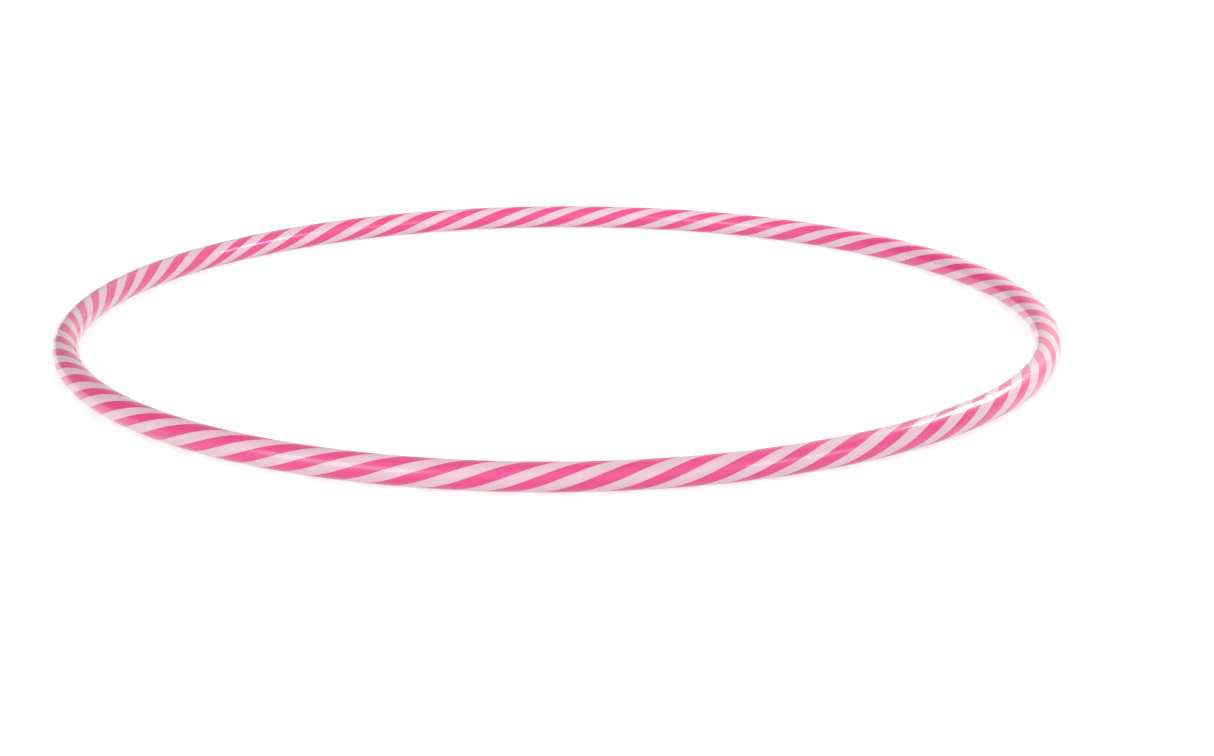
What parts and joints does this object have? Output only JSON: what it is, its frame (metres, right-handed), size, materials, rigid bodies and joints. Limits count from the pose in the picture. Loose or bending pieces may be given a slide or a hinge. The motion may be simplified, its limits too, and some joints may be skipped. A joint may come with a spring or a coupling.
{
  "type": "rhythmic gymnastics hoop",
  "caption": "Round striped gymnastics hoop: a bent plastic tube in white with helical pink stripes, closed by a butt joint over an inner plug.",
  "frame": {"origin": "centre of the ring, midway through the tube's thickness", "axes": "+Z along the ring's own axis (up when the hoop lies on the floor); +X and +Y in the plane of the ring, the butt joint 35 degrees from +X towards +Y"},
  "size_m": [0.79, 0.79, 0.02],
  "materials": {
    "pearl_white_plastic": "glossy polyethylene, faintly pearly and tinted by the pink beside it",
    "hot_pink_plastic": "glossy hot pink polyethylene",
    "plug_plastic": "plain moulded natural plastic",
    "staple_steel": "bright galvanised flat wire"
  },
  "bodies": {
    "root": {"hoop_tube": "pearl_white_plastic", "pink_strand_1": "hot_pink_plastic", "pink_strand_2": "hot_pink_plastic", "pink_strand_3": "hot_pink_plastic", "pink_strand_4": "hot_pink_plastic", "joint_plug": "plug_plastic", "joint_staples": "staple_steel"}
  },
  "joints": []
}
